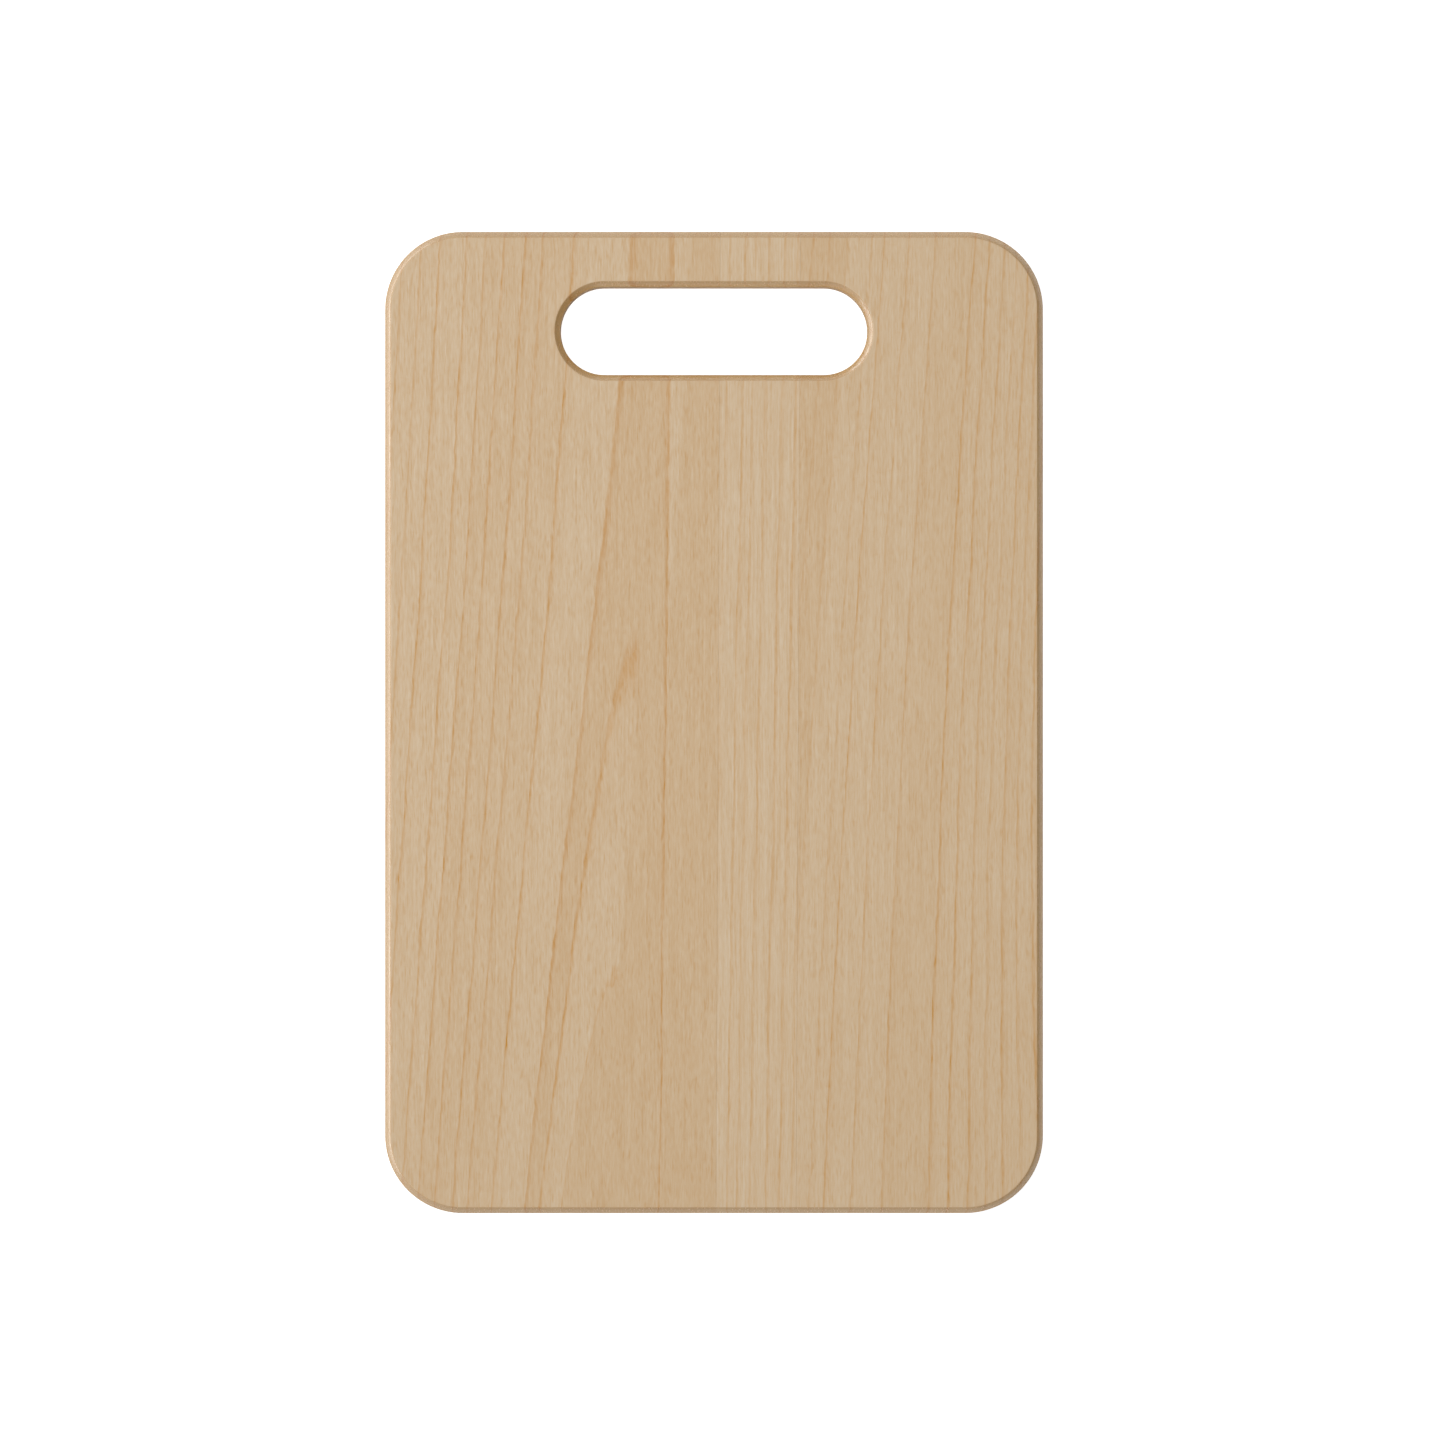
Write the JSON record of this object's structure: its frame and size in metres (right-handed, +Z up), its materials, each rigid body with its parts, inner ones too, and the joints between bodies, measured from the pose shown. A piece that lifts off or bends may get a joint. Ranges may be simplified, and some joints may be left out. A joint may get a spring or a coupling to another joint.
{
  "type": "cutting board",
  "caption": "Rectangular edge-glued maple cutting board with rounded corners, eased edges and a hand slot near one end.",
  "frame": {"origin": "centre of the flat resting face", "axes": "+Z up out of the cutting face, +Y along the grain towards the hand slot, +X across the board to the right as seen from above"},
  "size_m": [0.24, 0.358, 0.018],
  "materials": {
    "maple_left": "sanded and oiled, satin",
    "maple_centre": "sanded and oiled, satin",
    "maple_right": "sanded and oiled, satin",
    "glue": "dried wood glue, sanded flush"
  },
  "bodies": {
    "root": {"left_stave": "maple_left", "centre_stave": "maple_centre", "centre_stave_bridge": "maple_centre", "right_stave": "maple_right", "left_glue_line": "glue", "left_glue_line_bridge": "glue", "right_glue_line": "glue", "right_glue_line_bridge": "glue"}
  },
  "joints": []
}
